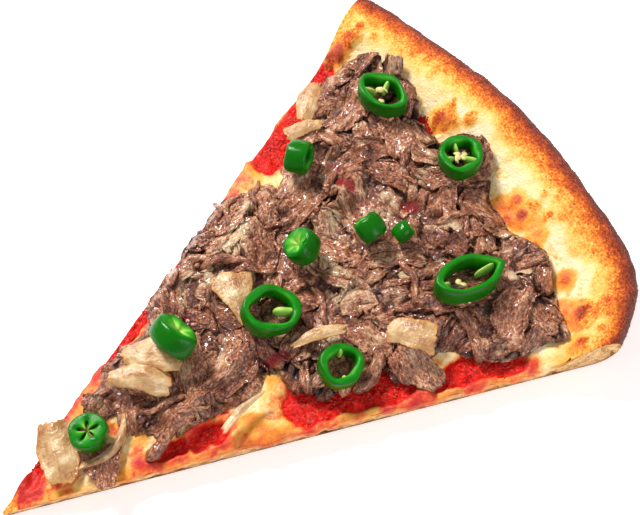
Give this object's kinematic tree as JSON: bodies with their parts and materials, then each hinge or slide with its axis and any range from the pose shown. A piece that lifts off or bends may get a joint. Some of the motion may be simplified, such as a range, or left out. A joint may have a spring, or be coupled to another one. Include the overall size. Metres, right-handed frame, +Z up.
{
  "type": "cheesesteak pizza slice",
  "caption": "Triangular pizza slice with a raised browned rim, sauce, melted cheese, shaved steak, green pepper rings and onion.",
  "frame": {"origin": "middle of the bounding box at the underside, on the surface the slice lies on", "axes": "+X along the slice's centre line from the tip to the rim, +Y across it, +Z up out of the toppings"},
  "size_m": [0.1774, 0.1264, 0.0237],
  "materials": {
    "crust": "baked golden crust, browned along the rim, dry and slightly rough",
    "tomato_sauce": "wet, grainy red tomato sauce",
    "melted_cheese": "melted cheese with an oily sheen and browned spots",
    "steak": "shaved cooked steak, fibrous, moist in places",
    "green_pepper": "glossy deep green skin with lighter flesh where it is cut",
    "onion": "soft translucent onion with fine veins"
  },
  "bodies": {
    "root": {"dough": "crust", "sauce": "tomato_sauce", "cheese": "melted_cheese", "steak_heap": "steak", "steak_scrap": "steak", "pepper_ring_far": "green_pepper", "pepper_ring_rim": "green_pepper", "pepper_segment_far": "green_pepper", "pepper_chunk_middle": "green_pepper", "pepper_chunk_small": "green_pepper", "pepper_segment_middle": "green_pepper", "pepper_ring_middle": "green_pepper", "pepper_ring_large": "green_pepper", "pepper_segment_tip": "green_pepper", "pepper_ring_near": "green_pepper", "pepper_ring_tip": "green_pepper", "onion_wedge_far": "onion", "onion_piece_segment": "onion", "onion_sheet_middle": "onion", "onion_fold_upper": "onion", "onion_fold_lower": "onion", "onion_sheet_tip": "onion", "onion_strip_tip": "onion", "onion_strip_near": "onion", "onion_flap": "onion", "onion_sliver": "onion"}
  },
  "joints": []
}
